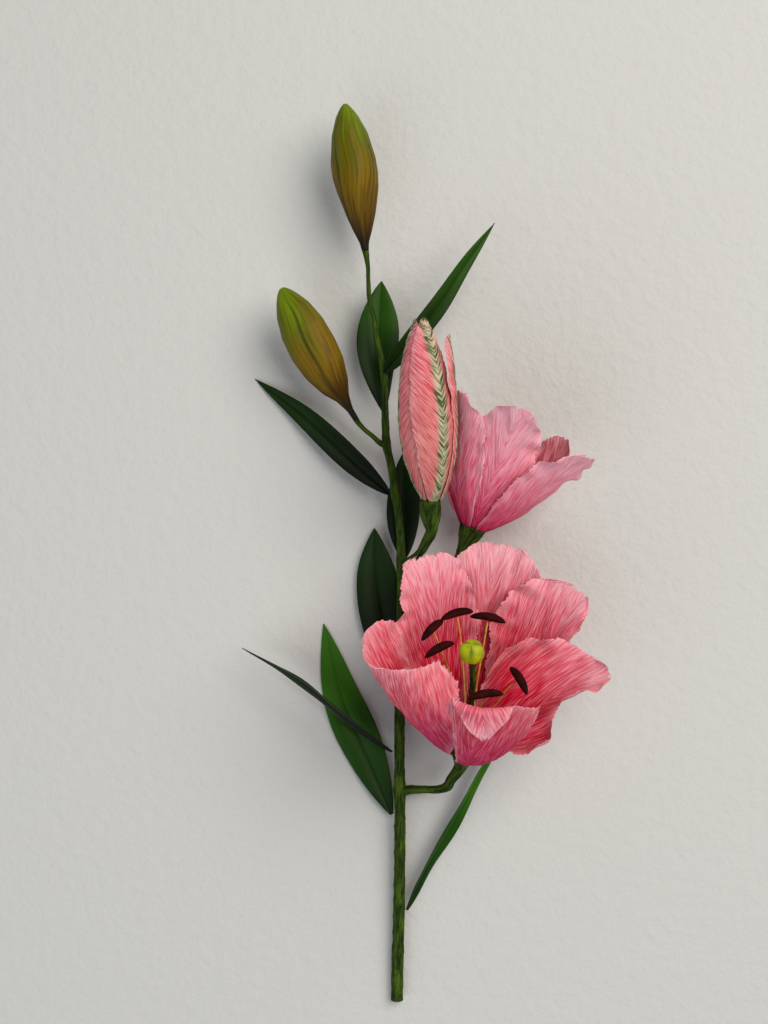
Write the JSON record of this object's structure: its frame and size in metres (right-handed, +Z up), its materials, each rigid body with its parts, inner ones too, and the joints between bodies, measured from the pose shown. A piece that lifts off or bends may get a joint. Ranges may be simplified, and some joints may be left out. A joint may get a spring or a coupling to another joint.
{
  "type": "paper flower",
  "caption": "Spray of crepe-paper lilies on a paper-wrapped wire stem: open blooms, a half-open bud, closed buds and leaves, lying on its back as a table decoration.",
  "frame": {"origin": "centre of the stem's cut end, on the end face of its wire", "axes": "+Y runs up the stem towards the buds, +Z points up from the table that the spray lies on, +X is to the right"},
  "size_m": [0.1952, 0.4857, 0.1241],
  "materials": {
    "stem_crepe": "matte",
    "stem_wire": "satin",
    "leaf_paper": "satin",
    "petal_crepe": "matte",
    "bud_crepe": "satin",
    "anther_crepe": "matte",
    "filament_paper": "matte",
    "style_crepe": "matte",
    "stigma_crepe": "satin"
  },
  "bodies": {
    "root": {"stem_wrap": "stem_crepe", "stem_wire": "stem_wire", "left_bud_stalk": "stem_crepe", "half_open_bud_stalk": "stem_crepe", "back_bloom_stalk": "stem_crepe", "front_bloom_stalk": "stem_crepe", "leaf_top_right": "leaf_paper", "leaf_upper_back": "leaf_paper", "leaf_left": "leaf_paper", "leaf_middle_back": "leaf_paper", "leaf_dark_back": "leaf_paper", "leaf_lower_left": "leaf_paper", "leaf_left_narrow": "leaf_paper", "leaf_right_narrow": "leaf_paper", "top_bud": "bud_crepe", "left_bud": "bud_crepe", "half_open_bud_outer_petal_left": "petal_crepe", "half_open_bud_outer_petal_front": "petal_crepe", "half_open_bud_outer_petal_right": "petal_crepe", "half_open_bud_inner_petal_right": "petal_crepe", "half_open_bud_inner_petal_back": "petal_crepe", "half_open_bud_inner_petal_left": "petal_crepe", "half_open_bud_receptacle": "stem_crepe", "back_bloom_petal_left": "petal_crepe", "back_bloom_petal_top": "petal_crepe", "back_bloom_petal_right": "petal_crepe", "back_bloom_petal_lower_right": "petal_crepe", "back_bloom_petal_bottom": "petal_crepe", "back_bloom_petal_lower_left": "petal_crepe", "back_bloom_stamen_1": "filament_paper", "back_bloom_stamen_2": "filament_paper", "back_bloom_stamen_3": "filament_paper", "back_bloom_stamen_4": "filament_paper", "back_bloom_stamen_5": "filament_paper", "back_bloom_stamen_6": "filament_paper", "back_bloom_pistil": "style_crepe", "back_bloom_receptacle": "stem_crepe", "front_bloom_petal_back_left": "petal_crepe", "front_bloom_petal_back": "petal_crepe", "front_bloom_petal_right_back": "petal_crepe", "front_bloom_petal_right": "petal_crepe", "front_bloom_petal_front": "petal_crepe", "front_bloom_petal_left": "petal_crepe", "filament_1": "filament_paper", "anther_1": "anther_crepe", "filament_2": "filament_paper", "anther_2": "anther_crepe", "filament_3": "filament_paper", "anther_3": "anther_crepe", "filament_4": "filament_paper", "anther_4": "anther_crepe", "filament_5": "filament_paper", "anther_5": "anther_crepe", "filament_6": "filament_paper", "anther_6": "anther_crepe", "style": "style_crepe", "stigma": "stigma_crepe", "front_bloom_receptacle": "stem_crepe"}
  },
  "joints": []
}
